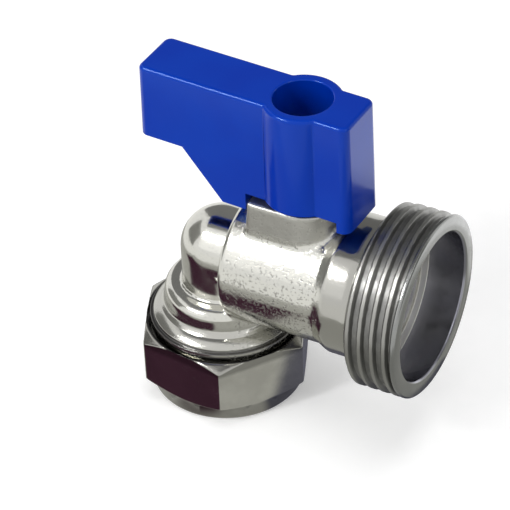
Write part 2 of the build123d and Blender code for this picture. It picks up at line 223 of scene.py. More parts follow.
def calc(operation, *values):
    """Field that a Math node gives from other fields and plain numbers."""
    tree = next(value.tree for value in values if isinstance(value, Field))
    node = put(tree, "ShaderNodeMath", dict(enumerate(values)), operation=operation)
    return Field(node.outputs[0])


class Field:
    """A value that varies from place to place: a node's output, ready for arithmetic."""

    def __init__(self, output):
        self.output = output
        self.tree = output.id_data

    def __add__(self, other):
        return calc("ADD", self, other)

    def __sub__(self, other):
        return calc("SUBTRACT", self, other)

    def __mul__(self, other):
        return calc("MULTIPLY", self, other)

    def __truediv__(self, other):
        return calc("DIVIDE", self, other)

    def __rtruediv__(self, other):
        return calc("DIVIDE", other, self)

    def at_least(self, other):
        return calc("MAXIMUM", self, other)

    def at_most(self, other):
        return calc("MINIMUM", self, other)

    def between(self, low, high, to_low=0.0, to_high=1.0, smooth=True):
        """Goes from one value to another as this field goes from low to high."""
        values = {
            "Value": self, "From Min": low, "From Max": high, "To Min": to_low, "To Max": to_high,
        }
        style = "SMOOTHSTEP" if smooth else "LINEAR"
        node = put(self.tree, "ShaderNodeMapRange", values, interpolation_type=style)
        return Field(node.outputs["Result"])

    def rise(self, low, high):
        """Mask that starts over a stretch given in millimetres."""
        return self.between(low * MM, high * MM)

    def fall(self, low, high):
        """Mask that ends over a stretch given in millimetres."""
        return self.between(low * MM, high * MM, 1.0, 0.0)

    def split(self):
        """The X, Y and Z of a place."""
        parts = put(self.tree, "ShaderNodeSeparateXYZ", {0: self})
        return [Field(output) for output in parts.outputs]


def fields(node):
    """Outputs of a node by name."""
    return {output.name: Field(output) for output in node.outputs}


def painted(base, *coats):
    """A colour under coats of (mask, colour)."""
    for mask, paint in coats:
        base = base if isinstance(base, Field) else (*base, 1.0)
        inputs = {0: mask, 6: base, 7: (*paint, 1.0)}
        base = Field(put(mask.tree, "ShaderNodeMix", inputs, data_type="RGBA").outputs[2])
    return base


def noise(place, size, detail=3.0, roughness=0.5, stretch=None):
    """Field of a noise whose lumps are about size wide."""
    if stretch:
        place = Field(put(place.tree, "ShaderNodeMapping", {0: place, "Scale": stretch}).outputs[0])
    inputs = {"Vector": place, "Scale": 1.0 / size, "Detail": detail, "Roughness": roughness}
    return Field(put(place.tree, "ShaderNodeTexNoise", inputs).outputs[0])


def label(name):
    """A name as a socket's label: root_radius becomes Root Radius."""
    return name.replace("_", " ").title()


def new_group(name, kind, inputs, outputs):
    """An empty node group: its tree, the fields that come in and the sockets that go out.

    Each input has a number as its default, or the kind of its socket where it has none.
    """
    tree = bpy.data.node_groups.new(name, kind)
    for socket_label, value in inputs.items():
        has_default = not isinstance(value, str)
        socket_type = "NodeSocket" + (type(value).__name__.title() if has_default else value)
        socket = tree.interface.new_socket(socket_label, in_out="INPUT", socket_type=socket_type)
        if has_default:
            socket.default_value = value
    socket_type = "NodeSocketFloat" if kind == "ShaderNodeTree" else "NodeSocketGeometry"
    for socket_label in outputs:
        tree.interface.new_socket(socket_label, in_out="OUTPUT", socket_type=socket_type)
    return tree, fields(put(tree, "NodeGroupInput")), put(tree, "NodeGroupOutput").inputs


def use_group(group, place, **values):
    """Lays a shader group over a place with its own values, and gives its outputs."""
    inputs = {label(name): value for name, value in values.items()}
    return fields(put(place.tree, "ShaderNodeGroup", {"Place": place, **inputs}, node_tree=group))


# Shader groups

def cast_skin_group():
    """Grain of a plated casting: fine lumps on broad swells."""
    group, come, go = new_group(
        "Cast skin", "ShaderNodeTree",
        {"Place": "Vector", "Grain": 0.35 * MM, "Swell": 2.0 * MM},
        ("Height", "Dullness"),
    )
    fine = noise(come["Place"], come["Grain"], 4.0, 0.6)
    broad = noise(come["Place"], come["Swell"], 2.0)
    feed(go["Height"], broad * 1.6 + fine.between(0.34, 0.48))
    feed(go["Dullness"], fine.between(0.36, 0.46, 1.0, 0.0) * 0.85)
    return group


def wear_group():
    """Broad patches and fine rubbed streaks, for roughness and shade."""
    group, come, go = new_group(
        "Handling wear", "ShaderNodeTree",
        {"Place": "Vector", "Patch": 4.0 * MM},
        ("Patches", "Streaks"),
    )
    patches = noise(come["Place"], come["Patch"], 4.0, 0.55)
    streaks = noise(come["Place"], 0.25 * MM, 2.0, 0.5, (0.12, 1.0, 1.0))
    feed(go["Patches"], patches.between(0.35, 0.68))
    feed(go["Streaks"], streaks.between(0.50, 0.74))
    return group


def turning_group():
    """Fine rings that a lathe tool leaves, counted along the axis."""
    group, come, go = new_group(
        "Turning marks", "ShaderNodeTree",
        {"Place": "Vector", "Along": 0.0, "Spacing": 0.12 * MM},
        ("Height",),
    )
    wander = noise(come["Place"], 1.2 * MM, 2.0) * 3.0
    wave = calc("SINE", come["Along"] / come["Spacing"] * (2 * math.pi) + wander)
    feed(go["Height"], wave * 0.5 + 0.5)
    return group


def outlet_place_group():
    """Where a point stands on the outlet: along its axis and out from it."""
    group, come, go = new_group(
        "Outlet place", "ShaderNodeTree",
        {"Place": "Vector", "Axis Height": 0.0},
        ("Along", "Out"),
    )
    along, across, height = come["Place"].split()
    up = height - come["Axis Height"]
    feed(go["Along"], along)
    feed(go["Out"], calc("SQRT", up * up + across * across))
    return group


# Materials

def start_material(name, metallic=0.0, **constants):
    """A material with plain constants in its Principled shader, and its object coordinates."""
    material = bpy.data.materials.new(name)
    material.use_nodes = True
    shader = material.node_tree.nodes["Principled BSDF"]
    feed(shader.inputs["Metallic"], metallic)
    for socket, value in constants.items():
        feed(shader.inputs[socket.replace("_", " ")], value)
    return material, Field(put(material.node_tree, "ShaderNodeTexCoord").outputs["Object"])


def coat(material, paint, rough, height, depth):
    """Gives a material its colour and roughness, and a relief of height times depth."""
    shader = material.node_tree.nodes["Principled BSDF"]
    feed(shader.inputs["Base Color"], paint)
    feed(shader.inputs["Roughness"], rough)
    inputs = {"Strength": 1.0, "Distance": depth, "Height": height}
    relief = put(material.node_tree, "ShaderNodeBump", inputs)
    feed(shader.inputs["Normal"], relief.outputs[0])
    return material


def cast_plate_material(colours, groups):
    """Bright plate over a grained casting: dull on the neck, pitted on the barrel.

    The lower inlet and the collar are darker, and a thin band at the flange's step is painted
    shade.
    """
    material, place = start_material("cast plate", 1.0)
    along, _, height = place.split()
    over_axis = height - AXIS_HEIGHT
    barrel = along.rise(4.4, 5.6) * along.fall(18.0, 20.5)
    neck = barrel * over_axis.rise(8.4, 9.6)
    coarse = barrel * 0.85 + 0.15
    collar = along.rise(19.3, 20.6)
    inlet = height.fall(14.0, 15.5)
    # The thin band at the flange's step is painted dark: painted shade along the step.
    step = height.rise(11.9, 12.0) * height.fall(12.1, 12.25)
    grain = use_group(groups["skin"], place, grain=0.42 * MM, swell=1.8 * MM)
    worn = use_group(groups["wear"], place, patch=3.5 * MM)
    pits = grain["Dullness"] * coarse
    # Pits and the neck are duller plate; the lower inlet and the collar are simply darker.
    darker_plate = pits.at_least(neck * 0.6).at_least(inlet * 0.5).at_least(collar * 0.7)
    paint = painted(colours.plate, (darker_plate, colours.plate_dark), (step * 0.85, colours.grime))
    rough = worn["Patches"] * 0.05 + neck * 0.20 + pits * 0.15 + 0.12
    return coat(material, paint, rough, grain["Height"], coarse * (0.013 * MM))


def turned_plate_material(colours, groups):
    """Plated thread and rim, with painted shade in the roots, and a recess with a pale bottom.

    The recess wall is darkened as painted shade.
    """
    material, place = start_material("turned plate", 1.0)
    spot = use_group(groups["outlet place"], place, axis_height=AXIS_HEIGHT)
    along, out = spot["Along"], spot["Out"]
    marks = use_group(groups["turning"], place, along=along, spacing=0.16 * MM)
    worn = use_group(groups["wear"], place, patch=2.5 * MM)
    thread = out.rise(11.6, 11.9) * along.fall(32.0, 32.3)
    rubbed_crest = thread * out.rise(13.06, 13.17)
    # The dark colour in the thread roots is painted shade, stronger in patches.
    root_shade = out.fall(12.5, 12.9) * thread * (worn["Patches"] * 0.30 + 0.10)
    # The recess wall is painted darker and bluer: painted shade.
    inside = out.fall(10.75, 10.95)
    bottom = inside * along.fall(27.15, 27.25)
    wall_shade = inside - bottom
    paint = painted(
        colours.rim,
        (worn["Streaks"] * 0.3, colours.plate_dark),
        (thread, colours.thread),
        (rubbed_crest * 0.8, colours.plate),
        (bottom, colours.plate),
        (wall_shade, colours.recess),
        (root_shade, colours.grime),
    )
    rough = worn["Patches"] * 0.10 + thread * 0.13 + bottom * 0.35 + root_shade * 0.20 + 0.17
    return coat(material, paint, rough, marks["Height"], 0.004 * MM)


def nut_plate_material(colours, groups):
    """Smooth plate of the nut, with faint drawn lines, rubbed patches and darker ends.

    The bore and the mouth are painted dark as a painted shadow, and the lower collar as painted
    shade.
    """
    material, place = start_material("nut plate", 1.0)
    across, deep, height = place.split()
    out = calc("SQRT", across * across + deep * deep)
    # The bore and the ring at the mouth take the dark colour: a painted shadow in the gap.
    inside = out.fall(11.31, 11.37) * height.rise(3.5, 4.5)
    mouth_shadow_ring = out.fall(11.55, 11.63) * height.rise(10.93, 10.96)
    # The nut is darker towards its top, and darker on its lower collar as painted shade.
    top_end, low_end_shade = height.rise(9.2, 10.2), height.fall(2.2, 2.9) * 0.8
    worn = use_group(groups["wear"], place, patch=5.0 * MM)
    wear_and_shade = worn["Patches"] * 0.30 + top_end.at_least(low_end_shade)
    paint = painted(
        colours.plate,
        (wear_and_shade, colours.plate_dark),
        (inside.at_least(mouth_shadow_ring), colours.grime),
    )
    relief = worn["Streaks"] * 0.4 + noise(place, 1.5 * MM)
    return coat(material, paint, worn["Streaks"] * 0.08 + 0.14, relief, 0.006 * MM)


def lever_material(colours, groups):
    """Half-gloss moulded plastic with a faint sink and rubbed spots."""
    material, place = start_material(
        "lever plastic", IOR=1.46, Specular_IOR_Level=0.36,
        Specular_Tint=(0.30, 0.60, 1.0, 1.0), Coat_Weight=0.12, Coat_Roughness=0.08,
    )
    worn = use_group(groups["wear"], place, patch=6.0 * MM)
    flow = noise(place, 9.0 * MM, 1.0)
    tint = flow.between(0.35, 0.7) * 0.25
    paint = painted(colours.lever, (tint, colours.lever_worn))
    return coat(material, paint, worn["Patches"] * 0.06 + 0.12, flow, 0.04 * MM)


def plain_metal_material(name, base, dark, low_rough, groups):
    """Turned metal of an inner piece."""
    material, place = start_material(name, 1.0)
    worn = use_group(groups["wear"], place, patch=2.0 * MM)
    spot = use_group(groups["outlet place"], place, axis_height=AXIS_HEIGHT)
    marks = use_group(groups["turning"], place, along=spot["Out"], spacing=0.15 * MM)
    paint = painted(base, (worn["Patches"] * 0.5, dark))
    rough = worn["Streaks"] * 0.12 + low_rough
    return coat(material, paint, rough, marks["Height"], 0.002 * MM)


def soft_material(name, base, dark_share, rough, groups):
    """Sealing plastic or rubber with a faint mottle."""
    material, place = start_material(name)
    worn = use_group(groups["wear"], place, patch=1.5 * MM)
    dark = [part * dark_share for part in base]
    paint = painted(base, (worn["Patches"], dark))
    relief = noise(place, 0.2 * MM)
    return coat(material, paint, worn["Patches"] * 0.12 + rough, relief, 0.004 * MM)


def make_materials():
    """All finishes, built once and kept by name."""
    colours = bpy.context.scene.valve_colours
    groups = {
        "skin": cast_skin_group(),
        "wear": wear_group(),
        "turning": turning_group(),
        "outlet place": outlet_place_group(),
    }
    made = {
        "cast": cast_plate_material(colours, groups),
        "turned": turned_plate_material(colours, groups),
        "nut": nut_plate_material(colours, groups),
        "lever": lever_material(colours, groups),
    }
    for finish, name, base, dark, rough in (
        ("ball", "ball chrome", colours.plate, colours.plate_dark, 0.06),
        ("retainer", "retainer metal", colours.plate, colours.plate_dark, 0.28),
        ("brass", "turned brass", colours.brass, colours.brass_dark, 0.25),
        ("screw", "screw zinc", colours.zinc, colours.zinc_dark, 0.30),
    ):
        made[finish] = plain_metal_material(name, base, dark, rough, groups)
    for finish, name, base, dark_share, rough in (
        ("seat", "seat plastic", colours.seat, 0.9, 0.45),
        ("rubber", "ring rubber", colours.rubber, 0.6, 0.5),
    ):
        made[finish] = soft_material(name, base, dark_share, rough, groups)
    return made


# Mesh helpers

def link_mesh(name, mesh):
    """Puts a mesh into the scene as an object at the origin."""
    piece = bpy.data.objects.new(name, mesh)
    bpy.context.scene.collection.objects.link(piece)
    return piece


def check_size(piece, fewest=1):
    """Stops the build where a piece came out with too many or too few triangles."""
    triangles = len(piece.data.polygons)
    if not fewest <= triangles <= MOST_TRIANGLES:
        raise RuntimeError("%s came out with %d triangles" % (piece.name, triangles))


def shade_smooth(piece, hard_edge):
    """Shades a piece smoothly, but for edges that bend more than an angle."""
    piece.data.shade_smooth()
    piece.data.set_sharp_from_angle(angle=hard_edge)


def finish_piece(piece, body, material, replaced):
    """Gives a piece its finish and lets it ride on its body in place of CAD nodes."""
    piece.data.materials.clear()
    piece.data.materials.append(material)
    for face in piece.data.polygons:
        face.material_index = 0
    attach(piece, body)
    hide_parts(*replaced)


def settle(piece):
    """Turns a piece's modifiers into plain mesh and removes them."""
    graph = bpy.context.evaluated_depsgraph_get()
    graph.update()
    mesh = bpy.data.meshes.new_from_object(piece.evaluated_get(graph))
    piece.modifiers.clear()
    old = piece.data
    piece.data = mesh
    bpy.data.meshes.remove(old)


def add_faces(work, points, faces):
    """Adds plain points and faces to a bmesh."""
    mesh = bpy.data.meshes.new("faces")
    mesh.from_pydata(points, [], faces)
    work.from_mesh(mesh)
    bpy.data.meshes.remove(mesh)


def to_piece(work, name):
    """Ends a bmesh as a named piece in the scene."""
    mesh = bpy.data.meshes.new(name)
    work.to_mesh(mesh)
    work.free()
    return link_mesh(name, mesh)


def bent_grids(point, normal, steps):
    """Grids of points over triangles that are bent to the normals at their corners."""

    def pull(start, end):
        """Inner control point of the edge between two corners."""
        run = point[:, end] - point[:, start]
        reach = (run * normal[:, start]).sum(axis=1, keepdims=True)
        return (2 * point[:, start] + point[:, end] - reach * normal[:, start]) / 3

    corners = range(3)
    edges = {(start, end): pull(start, end) for start in corners for end in corners if start != end}
    middle = sum(edges.values()) / 6
    middle = middle + (middle - point.mean(axis=1)) / 2
    marks = [(i, j) for i in range(steps + 1) for j in range(steps + 1 - i)]
    rows = []
    for i, j in marks:
        share = (1 - (i + j) / steps, i / steps, j / steps)
        spot = sum(point[:, k] * share[k] ** 3 for k in corners)
        spot = spot + middle * 6 * share[0] * share[1] * share[2]
        for (start, end), control in edges.items():
            spot = spot + control * 3 * share[start] ** 2 * share[end]
        rows.append(spot)
    number = {mark: place for place, mark in enumerate(marks)}
    triangles = []
    for i, j in marks:
        if i + j < steps:
            triangles.append((number[i, j], number[i + 1, j], number[i, j + 1]))
        if i + j < steps - 1:
            triangles.append((number[i + 1, j], number[i + 1, j + 1], number[i, j + 1]))
    return np.stack(rows, axis=1), np.array(triangles)


def read(items, name, kind=float):
    """An attribute of mesh items with three values each, as an array."""
    values = np.empty(len(items) * 3, dtype=kind)
    items.foreach_get(name, values)
    return values.reshape(-1, 3)


def fine_copy(node_name, steps):
    """A welded bmesh of a CAD node, cut finer and bent so that curved faces lose their facets."""
    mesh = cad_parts[node_name].data
    mesh.calc_loop_triangles()
    corners = read(mesh.loop_triangles, "vertices", np.int64)
    loops = read(mesh.loop_triangles, "loops", np.int64)
    point = read(mesh.vertices, "co")[corners]
    normal = read(mesh.corner_normals, "vector")[loops]
    grids, triangles = bent_grids(point, normal, steps)
    faces = triangles[None] + (np.arange(len(grids)) * grids.shape[1])[:, None, None]
    work = bmesh.new()
    add_faces(work, grids.reshape(-1, 3).tolist(), faces.reshape(-1, 3).tolist())
    bmesh.ops.remove_doubles(work, verts=work.verts, dist=0.01 * MM)
    return work


def cut_off(work, geometry, place, direction):
    """Cuts away what lies past a plane, and joins the two rims that a hollow form keeps."""
    cut = bmesh.ops.bisect_plane(
        work, geom=geometry, plane_co=place, plane_no=direction, clear_outer=True
    )
    rims = [item for item in cut["geom_cut"] if isinstance(item, bmesh.types.BMEdge)]
    bmesh.ops.bridge_loops(work, edges=rims)


def soften_edges(piece, voxel, smooth_steps):
    """Rebuilds a closed form on an even grid and smooths it, which softens its edges."""
    grid = piece.modifiers.new("even grid", "REMESH")
    grid.mode = "VOXEL"
    grid.voxel_size = voxel
    soften = piece.modifiers.new("soften", "SMOOTH")
    soften.factor = 0.5
    soften.iterations = smooth_steps


def rounded_profile(points, steps=4):
    """Profile of (along, radius, round): each corner with a round becomes a short curve."""
    longest_share = 0.45
    profile = []
    for number, (along, radius, bend) in enumerate(points):
        corner = Vector((along, radius))
        if bend == 0 or number in (0, len(points) - 1):
            profile.append(corner)
            continue
        before = Vector(points[number - 1][:2]) - corner
        after = Vector(points[number + 1][:2]) - corner
        start = corner + before.normalized() * min(bend, before.length * longest_share)
        end = corner + after.normalized() * min(bend, after.length * longest_share)
        for step in range(steps + 1):
            t = step / steps
            profile.append(start * (1 - t) ** 2 + corner * 2 * t * (1 - t) + end * t * t)
    return profile


def add_turned(work, rows, columns, upright, closed):
    """Adds rows of (along, radius) to a bmesh, turned round the outlet's axis or round Z."""
    angle = np.linspace(0, 2 * math.pi, columns, endpoint=False)
    points = []
    for along, radius in rows:
        across, up = radius * np.cos(angle), radius * np.sin(angle)
        level = np.full(columns, along)
        row = (across, up, level) if upright else (level, across, AXIS_HEIGHT + up)
        points.append(np.stack(row, axis=1))
    quads = []
    for row in range(len(rows) if closed else len(rows) - 1):
        first, second = row * columns, (row + 1) % len(rows) * columns
        for column in range(columns):
            after = (column + 1) % columns
            quads.append((first + column, first + after, second + after, second + column))
    add_faces(work, np.concatenate(points), quads)


def turned_piece(name, rows, columns):
    """A closed piece that is turned round Z, with its faces outward."""
    work = bmesh.new()
    add_turned(work, rows, columns, upright=True, closed=True)
    bmesh.ops.recalc_face_normals(work, faces=work.faces)
    return to_piece(work, name)


# Geometry node trees

def move_and_dress(tree, geometry, move, value, come, go):
    """Ends a tree: moves the points by their Offset or Position, and sets the material."""
    inputs = {"Geometry": geometry, move: value}
    moved = put(tree, "GeometryNodeSetPosition", inputs).outputs[0]
    real = put(tree, "GeometryNodeRealizeInstances", {"Geometry": moved}).outputs[0]
    inputs = {"Geometry": real, "Material": come["Material"]}
    feed(go["Geometry"], put(tree, "GeometryNodeSetMaterial", inputs).outputs[0])


def make_skin_tree():
    """Pushes a casting's surface in and out with a broad noise, more on the barrel."""
    tree, come, go = new_group(
        "Cast swells", "GeometryNodeTree",
        {
            "Geometry": "Geometry", "Size": 0.9 * MM, "Depth": 0.012 * MM,
            "Barrel Start": 4.0 * MM, "Barrel End": 19.0 * MM, "Material": "Material",
        },
        ("Geometry",),
    )
    fade = 2.5 * MM
    place = Field(put(tree, "GeometryNodeInputPosition").outputs[0])
    along = place.split()[0]
    start, end = come["Barrel Start"], come["Barrel End"]
    barrel = along.between(start, start + fade) * along.between(end, end + fade, 1.0, 0.0)
    swell = noise(place, come["Size"], 3.0, 0.55) - 0.5
    reach = swell * ((barrel * 0.75 + 0.25) * come["Depth"] * 2.0)
    inputs = {0: put(tree, "GeometryNodeInputNormal").outputs[0], "Scale": reach}
    push = put(tree, "ShaderNodeVectorMath", inputs, operation="SCALE")
    move_and_dress(tree, come["Geometry"], "Offset", push.outputs[0], come, go)
    return tree


THREAD_LENGTHS = (
    "start", "root_radius", "crest_radius", "pitch", "first_crest", "crest_land", "root_land",
    "lead_start", "rim_width", "rim_radius", "rim_round",
)


def make_thread_tree():
    """A sleeve round the outlet's axis whose radius follows a right-hand helix."""
    tree, come, go = new_group(
        "Outlet thread", "GeometryNodeTree",
        {
            "Geometry": "Geometry", **{label(name): 0.01 for name in THREAD_LENGTHS},
            "End": 0.01, "Axis Height": 0.01, "Rows": 170, "Columns": 256, "Material": "Material",
        },
        ("Geometry",),
    )
    flank_curve, rim_rise, run_out, deepest = 0.45, 0.4 * MM, 0.35 * MM, 1.0 * MM
    root, crest = come["Root Radius"], come["Crest Radius"]
    pitch, end = come["Pitch"], come["End"]
    grid = put(tree, "GeometryNodeMeshGrid", {
        "Size X": 1.0, "Size Y": 1.0, "Vertices X": come["Rows"], "Vertices Y": come["Columns"] + 1,
    })
    grid_x, grid_y, _ = Field(put(tree, "GeometryNodeInputPosition").outputs[0]).split()
    turn = grid_y + 0.5
    along = (grid_x + 0.5) * (end - come["Start"]) + come["Start"]
    # Distance to the nearest crest, then the form of one rib between its two lands
    helix = (along - come["First Crest"]) / pitch - (turn - 0.5)
    near = calc("ABSOLUTE", helix - calc("ROUND", helix)) * pitch
    top = come["Crest Land"] * 0.5
    foot = (pitch - come["Root Land"]) * 0.5
    straight = near.between(top, foot, 1.0, 0.0, smooth=False)
    rounded = near.between(top, foot, 1.0, 0.0)
    radius = ((rounded - straight) * flank_curve + straight) * (crest - root) + root
    # The thread runs out into a groove beside the rim
    rim_start = end - come["Rim Width"]
    rim_foot = rim_start - rim_rise
    groove = along.between(rim_foot - run_out, rim_foot, crest, root)
    rim = along.between(rim_foot, rim_start, root, come["Rim Radius"])
    radius = radius.at_most(groove).at_least(rim)
    # Both ends are bevelled
    into_face = (come["Rim Round"] - (end - along)).at_least(0.0)
    radius = radius.at_most(come["Rim Radius"] - into_face * into_face / come["Rim Round"])
    back = (along - come["Lead Start"]) * BACK_BEVEL_SLOPE + root
    radius = radius.at_most(back.at_least(root - deepest))
    angle = turn * (2 * math.pi)
    spot = put(tree, "ShaderNodeCombineXYZ", {
        "X": along,
        "Y": radius * calc("COSINE", angle),
        "Z": radius * calc("SINE", angle) + come["Axis Height"],
    })
    move_and_dress(tree, grid.outputs["Mesh"], "Position", spot.outputs[0], come, go)
    return tree


def run_tree(piece, tree, **values):
    """Adds a Geometry Nodes modifier and sets its inputs by their identifiers."""
    modifier = piece.modifiers.new(tree.name, "NODES")
    modifier.node_group = tree
    inputs = (item for item in tree.interface.items_tree if item.in_out == "INPUT")
    names = {item.name: item.identifier for item in inputs}
    for name, value in values.items():
        modifier[names[label(name)]] = value


# Pieces

class VALVE_OT_finishes(Operator):
    """Build the shader groups and the materials"""
    bl_idname = "valve.finishes"
    bl_label = "Finishes"

    def execute(self, context):
        finishes.update(make_materials())
        return {"FINISHED"}


class VALVE_OT_cast_body(Operator):
    """Build the plated casting: elbow, inlet neck, barrel, boss and collar"""
    bl_idname = "valve.cast_body"
    bl_label = "Cast body"

    def execute(self, context):
        sizes = context.scene.valve_cast
        piece = to_piece(fine_copy("valve_body", sizes.fine_steps), "cast_body")
        soften_edges(piece, sizes.voxel, sizes.smooth_steps)
        run_tree(
            piece, make_skin_tree(), size=sizes.skin_size, depth=sizes.skin_depth,
            material=finishes["cast"],
        )
        settle(piece)
        work = bmesh.new()
        work.from_mesh(piece.data)
        everything = work.verts[:] + work.edges[:] + work.faces[:]
        cut_off(work, everything, (sizes.cut_x, 0, 0), (1, 0, 0))
        inlet = {}
        for face in work.faces:
            middle = face.calc_center_median()
            if middle.x < sizes.inlet_reach and middle.z < sizes.inlet_cut + MM:
                inlet.update(dict.fromkeys((face, *face.verts, *face.edges)))
        cut_off(work, list(inlet), (0, 0, sizes.inlet_cut), (0, 0, -1))
        bmesh.ops.triangulate(work, faces=work.faces)
        work.to_mesh(piece.data)
        work.free()
        check_size(piece, FEWEST_CAST_TRIANGLES)
        shade_smooth(piece, math.radians(60))
        finish_piece(piece, "valve", finishes["cast"], ("valve_body",))
        return {"FINISHED"}


class VALVE_OT_inlet(Operator):
    """Build the turned end of the inlet: cone, step, flange and the spigot inside the nut"""
    bl_idname = "valve.inlet"
    bl_label = "Turned inlet"

    def execute(self, context):
        sizes = context.scene.valve_inlet
        cut = context.scene.valve_cast.inlet_cut
        bend = sizes.edge_round
        slope = (sizes.step_radius - sizes.cone_radius) / (sizes.cone_top - sizes.step_top)
        relief_top = sizes.flange_bottom - sizes.relief_height
        olive_top = sizes.spigot_end + sizes.olive_radius - sizes.pipe_radius
        profile = rounded_profile([
            (cut, sizes.step_radius - (cut - sizes.step_top) * slope, 0),
            (sizes.step_top, sizes.step_radius, bend),
            (sizes.flange_top, sizes.step_radius, bend),
            (sizes.flange_top, sizes.flange_radius, bend),
            (sizes.flange_bottom, sizes.flange_radius, bend),
            (sizes.flange_bottom, sizes.relief_radius, 0),
            (relief_top, sizes.relief_radius, 0),
            (relief_top, sizes.spigot_radius, 0),
            (sizes.spigot_end, sizes.spigot_radius, 0),
            (sizes.spigot_end, sizes.olive_radius, 0),
            (olive_top, sizes.pipe_radius, 0),
            (sizes.pipe_stop, sizes.pipe_radius, 0),
            (sizes.pipe_stop, sizes.waterway_radius, 0),
            (cut, sizes.waterway_radius, 0),
        ])
        piece = turned_piece("turned_inlet", profile, sizes.columns)
        shade_smooth(piece, math.radians(50))
        finish_piece(piece, "valve", finishes["cast"], ("valve_body",))
        return {"FINISHED"}


class VALVE_OT_outlet(Operator):
    """Build the threaded outlet with its rim and washer recess"""
    bl_idname = "valve.outlet"
    bl_label = "Threaded outlet"

    def execute(self, context):
        sizes = context.scene.valve_outlet
        face = body_high.x
        sleeve = link_mesh("outlet_sleeve", bpy.data.meshes.new("outlet_sleeve"))
        run_tree(
            sleeve, make_thread_tree(), end=face, axis_height=AXIS_HEIGHT, rows=sizes.rows,
            columns=sizes.columns, material=finishes["turned"],
            **{name: getattr(sizes, name) for name in THREAD_LENGTHS},
        )
        settle(sleeve)
        work = bmesh.new()
        work.from_mesh(sleeve.data)
        bpy.data.objects.remove(sleeve)
        lead_round, bottom_round, seat_round = 0.12 * MM, 0.15 * MM, 0.08 * MM
        recess_end = face - sizes.recess_depth
        neck_end = sizes.start - sizes.neck_tuck
        back_radius = sizes.root_radius - BACK_BEVEL_SLOPE * (sizes.lead_start - sizes.start)
        lining = rounded_profile([
            (face, sizes.rim_radius - sizes.rim_round, 0),
            (face, sizes.recess_radius + sizes.recess_lead, lead_round),
            (face - sizes.recess_lead, sizes.recess_radius, lead_round),
            (recess_end, sizes.recess_radius, bottom_round),
            (recess_end, sizes.seat_bore_radius, seat_round),
            (neck_end, sizes.seat_bore_radius, 0),
            (neck_end, sizes.neck_radius, 0),
            (sizes.start, sizes.neck_radius, 0),
            (sizes.start, back_radius, 0),
        ])
        add_turned(work, lining, sizes.columns, upright=False, closed=False)
        bmesh.ops.remove_doubles(work, verts=work.verts, dist=0.002 * MM)
        bmesh.ops.recalc_face_normals(work, faces=work.faces)
        piece = to_piece(work, "threaded_outlet")
        shade_smooth(piece, math.radians(38))
        finish_piece(piece, "valve", finishes["turned"], ("valve_body",))
        return {"FINISHED"}


def soft_lower(first, second, width):
    """The lower of two values, rounded where they cross."""
    gap = np.clip(width - np.abs(first - second), 0, None) / width
    return np.minimum(first, second) - gap * gap * width / 4


class VALVE_OT_nut(Operator):
    """Build the compression nut: a hexagon between two cones"""
    bl_idname = "valve.nut"
    bl_label = "Compression nut"

    def execute(self, context):
        sizes = context.scene.valve_nut
        height = nut_high.z
        angle = np.linspace(0, 2 * math.pi, sizes.columns, endpoint=False)
        from_flat = (angle - sizes.hex_turn) % (math.pi / 3) - math.pi / 6
        corner = sizes.flats / 2 / math.cos(math.pi / 6) - sizes.corner_wear
        hexagon = soft_lower(sizes.flats / 2 / np.cos(from_flat), corner, sizes.edge_round)
        slope = math.tan(sizes.chamfer)
        rows = []
        for level in np.linspace(sizes.collar_height, height, sizes.rows):
            upper = sizes.top_radius + (height - level) / slope
            lower = sizes.collar_radius + (level - sizes.collar_height) / slope
            cone = soft_lower(upper, lower, sizes.edge_round)
            rows.append((level, soft_lower(hexagon, cone, sizes.edge_round)))
        mouth = sizes.bore_radius + sizes.mouth_chamfer
        bore_end = sizes.seat_height + sizes.bore_radius - sizes.pipe_radius
        inside = rounded_profile([
            (height, (mouth + sizes.top_radius) / 2, 0),
            (height, mouth, sizes.mouth_round),
            (height - sizes.mouth_chamfer, sizes.bore_radius, sizes.mouth_round),
            (bore_end, sizes.bore_radius, 0),
            (sizes.seat_height, sizes.pipe_radius, sizes.mouth_round),
            (0, sizes.pipe_radius, sizes.pipe_round),
            (0, sizes.collar_radius - sizes.foot_bevel, sizes.foot_round),
            (sizes.collar_height, sizes.collar_radius, 0),
        ], steps=6)
        rows += [tuple(point) for point in inside[1:-1]]
        piece = turned_piece("hex_nut", rows, sizes.columns)
        shade_smooth(piece, math.radians(50))
        finish_piece(piece, "nut", finishes["nut"], ("compression_nut",))
        return {"FINISHED"}


class VALVE_OT_lever(Operator):
    """Build the lever moulding with softened edges"""
    bl_idname = "valve.lever"
    bl_label = "Lever"

    def execute(self, context):
        sizes = context.scene.valve_lever
        piece = to_piece(fine_copy("lever", sizes.fine_steps), "lever_moulding")
        check_size(piece)
        shade_smooth(piece, sizes.hard_edge)
        level = piece.modifiers.new("level faces", "WEIGHTED_NORMAL")
        level.keep_sharp = True
        settle(piece)
        finish_piece(piece, "handle", finishes["lever"], ("lever",))
        return {"FINISHED"}


class VALVE_OT_inner_pieces(Operator):
    """Give the ball, seats, retainer, stem, rings, olive and screw their finishes"""
    bl_idname = "valve.inner_pieces"
    bl_label = "Inner pieces"

    def execute(self, context):
        dressed = {
            "ball": ("valve_ball",),
            "retainer": ("seat_retainer",),
            "brass": ("stem", "olive"),
            "screw": ("lever_screw",),
            "seat": ("inner_seat", "outer_seat", "stem_washer"),
            "rubber": ("stem_ring_lower", "stem_ring_upper"),
        }
        for finish, names in dressed.items():
            for name in names:
                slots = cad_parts[name].data.materials
                slots.clear()
                slots.append(finishes[finish])
        return {"FINISHED"}


# Studio

